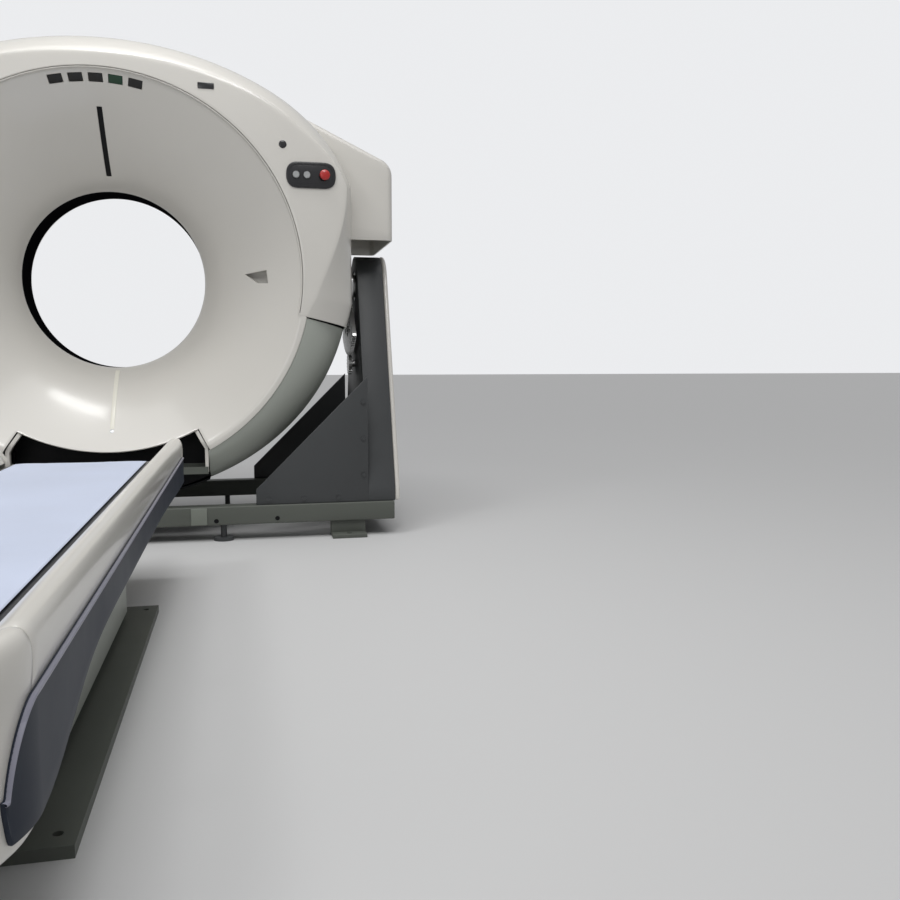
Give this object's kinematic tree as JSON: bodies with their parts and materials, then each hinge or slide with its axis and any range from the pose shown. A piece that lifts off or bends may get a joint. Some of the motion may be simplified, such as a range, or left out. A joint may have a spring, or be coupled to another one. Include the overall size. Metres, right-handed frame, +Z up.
{
  "type": "computed tomography scanner",
  "caption": "Computed tomography scanner with a tilting ring gantry on side stands, a rotating scan frame inside, and a lifting couch with a sliding top and mat.",
  "frame": {"origin": "on the floor at the centre of the gantry's floor anchors, under the scan axis", "axes": "+Z up, +Y along the scan axis from the couch into the gantry, +X to the right seen from the couch"},
  "size_m": [2.27, 3.811, 1.945],
  "materials": {
    "ivory_cover": "satin moulded cover",
    "grey_cover": "satin",
    "dark_steel": "satin",
    "frame_steel": "satin",
    "machined_steel": "machined",
    "cast_aluminium": "cast",
    "copper_alloy": "machined",
    "black_plastic": "gloss",
    "slate_panel": "satin",
    "black_shell": "satin",
    "mat_vinyl": "coated, soft",
    "key_grey": "satin",
    "stop_red": "gloss"
  },
  "bodies": {
    "base": {"base_frame": "frame_steel", "levelling_feet": "dark_steel", "stand_left": "dark_steel", "stand_right": "dark_steel", "stand_cover_left": "ivory_cover", "stand_cover_right": "ivory_cover", "tilt_bearings": "machined_steel", "tilt_motor": "dark_steel", "couch_base": "frame_steel"},
    "tilting": {"trunnions": "machined_steel", "tilt_sector": "machined_steel", "tilt_frame": "frame_steel", "front_cover": "ivory_cover", "face_ring": "ivory_cover", "top_cover": "ivory_cover", "shoulder_left": "ivory_cover", "shoulder_right": "ivory_cover", "lower_cover_left": "grey_cover", "lower_cover_right": "grey_cover", "rear_cover": "ivory_cover", "notch_liner": "black_plastic", "notch_sill": "frame_steel", "scan_window": "black_plastic", "indicator_windows": "black_plastic", "laser_window": "black_plastic", "bowl_trim": "ivory_cover", "grip_recesses": "ivory_cover", "screw_caps": "black_plastic", "panel_left": "black_plastic", "panel_right": "black_plastic", "bearing_outer": "machined_steel", "drive_stator": "copper_alloy", "brush_block": "black_plastic"},
    "pinion": {"tilt_pinion": "machined_steel"},
    "rotor": {"rotor_frame": "cast_aluminium", "xray_tube": "cast_aluminium", "collimator": "cast_aluminium", "detector": "cast_aluminium", "generator": "dark_steel", "heat_exchanger": "cast_aluminium", "slip_ring": "copper_alloy"},
    "stop_left": {"estop_left": "stop_red"},
    "stop_right": {"estop_right": "stop_red"},
    "key_l1": {"key_left_1": "key_grey"},
    "key_l2": {"key_left_2": "key_grey"},
    "key_r1": {"key_right_1": "key_grey"},
    "key_r2": {"key_right_2": "key_grey"},
    "lift_1": {"skirt_1": "grey_cover"},
    "lift_2": {"skirt_2": "grey_cover"},
    "couch": {"couch_frame": "frame_steel", "couch_skirt": "grey_cover", "rail_covers": "ivory_cover", "side_panels": "slate_panel", "couch_tail": "ivory_cover", "couch_nose": "ivory_cover", "feed_drive": "dark_steel"},
    "cradle": {"couch_top": "black_shell", "mat": "mat_vinyl"},
    "roller_f": {"roller_front": "machined_steel"},
    "roller_r": {"roller_rear": "machined_steel"}
  },
  "joints": [
    {"name": "tilt", "type": "hinge", "parent": "base", "child": "tilting", "pos_m": [0, 0, 1.05], "axis": [1, 0, 0], "range_deg": [-30, 30]},
    {"name": "pinion_turn", "type": "hinge", "parent": "base", "child": "pinion", "pos_m": [0, 0, 0.705], "axis": [1, 0, 0], "range_deg": [-201, 201]},
    {"name": "scan_turn", "type": "hinge", "parent": "tilting", "child": "rotor", "pos_m": [0, 0, 1.05], "axis": [0, 1, 0], "continuous": true},
    {"name": "lift", "type": "slide", "parent": "base", "child": "couch", "axis": [0, 0, 1], "range_m": [0, 0.53]},
    {"name": "lift_stage_1", "type": "slide", "parent": "base", "child": "lift_1", "axis": [0, 0, 1], "range_m": [0, 0.1768]},
    {"name": "lift_stage_2", "type": "slide", "parent": "base", "child": "lift_2", "axis": [0, 0, 1], "range_m": [0, 0.3535]},
    {"name": "feed", "type": "slide", "parent": "couch", "child": "cradle", "axis": [0, 1, 0], "range_m": [0, 1.22]},
    {"name": "roller_front_turn", "type": "hinge", "parent": "couch", "child": "roller_f", "pos_m": [0, -1.09, 0.3297], "axis": [1, 0, 0], "range_deg": [-3495, 0]},
    {"name": "roller_rear_turn", "type": "hinge", "parent": "couch", "child": "roller_r", "pos_m": [0, -1.56, 0.3297], "axis": [1, 0, 0], "range_deg": [-3495, 0]},
    {"name": "stop_left_press", "type": "slide", "parent": "tilting", "child": "stop_left", "axis": [0, 1, 0], "range_m": [0, 0.005], "stiffness_N_per_m": 1200, "springref_m": -0.001},
    {"name": "stop_right_press", "type": "slide", "parent": "tilting", "child": "stop_right", "axis": [0, 1, 0], "range_m": [0, 0.005], "stiffness_N_per_m": 1200, "springref_m": -0.001},
    {"name": "key_l1_press", "type": "slide", "parent": "tilting", "child": "key_l1", "axis": [0, 1, 0], "range_m": [0, 0.003], "stiffness_N_per_m": 900, "springref_m": -0.001},
    {"name": "key_l2_press", "type": "slide", "parent": "tilting", "child": "key_l2", "axis": [0, 1, 0], "range_m": [0, 0.003], "stiffness_N_per_m": 900, "springref_m": -0.001},
    {"name": "key_r1_press", "type": "slide", "parent": "tilting", "child": "key_r1", "axis": [0, 1, 0], "range_m": [0, 0.003], "stiffness_N_per_m": 900, "springref_m": -0.001},
    {"name": "key_r2_press", "type": "slide", "parent": "tilting", "child": "key_r2", "axis": [0, 1, 0], "range_m": [0, 0.003], "stiffness_N_per_m": 900, "springref_m": -0.001}
  ],
  "couplings": [
    {"joint": "pinion_turn", "follows": "tilt", "ratio": -6.6667},
    {"joint": "lift_stage_1", "follows": "lift", "ratio": 0.33333},
    {"joint": "lift_stage_2", "follows": "lift", "ratio": 0.66667},
    {"joint": "feed", "follows": "lift", "ratio": 2.3},
    {"joint": "roller_front_turn", "follows": "lift", "rad_per_m": -115},
    {"joint": "roller_rear_turn", "follows": "lift", "rad_per_m": -115}
  ]
}
